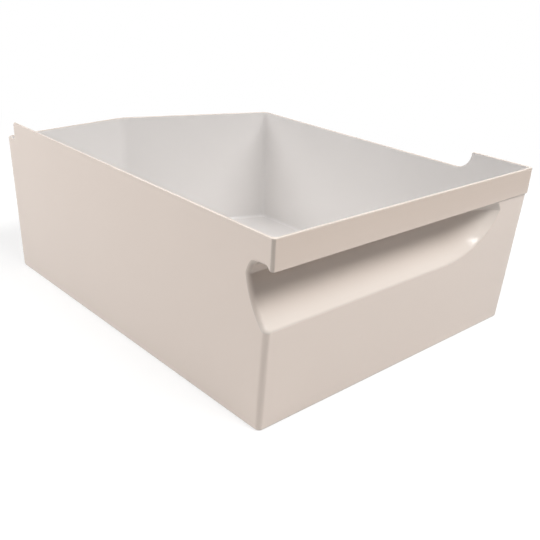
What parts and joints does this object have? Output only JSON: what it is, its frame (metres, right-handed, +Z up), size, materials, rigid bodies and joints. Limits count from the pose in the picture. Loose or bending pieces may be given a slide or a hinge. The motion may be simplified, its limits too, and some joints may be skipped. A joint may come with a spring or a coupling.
{
  "type": "fridge crisper drawer",
  "caption": "Open-topped moulded fridge drawer with drafted walls, a proud front band, a finger recess that runs out through one side, and a shallow V-shaped rear wall.",
  "frame": {"origin": "middle of the bounding box, on the plane of the drawer's flat base", "axes": "+Z up, -Y towards the user (front band and finger recess), -X towards the side that the recess runs out through"},
  "size_m": [0.374, 0.482, 0.178],
  "materials": {
    "drawer_plastic": "glossy warm-white moulded polystyrene"
  },
  "bodies": {
    "root": {"crisper_drawer": "drawer_plastic"}
  },
  "joints": []
}
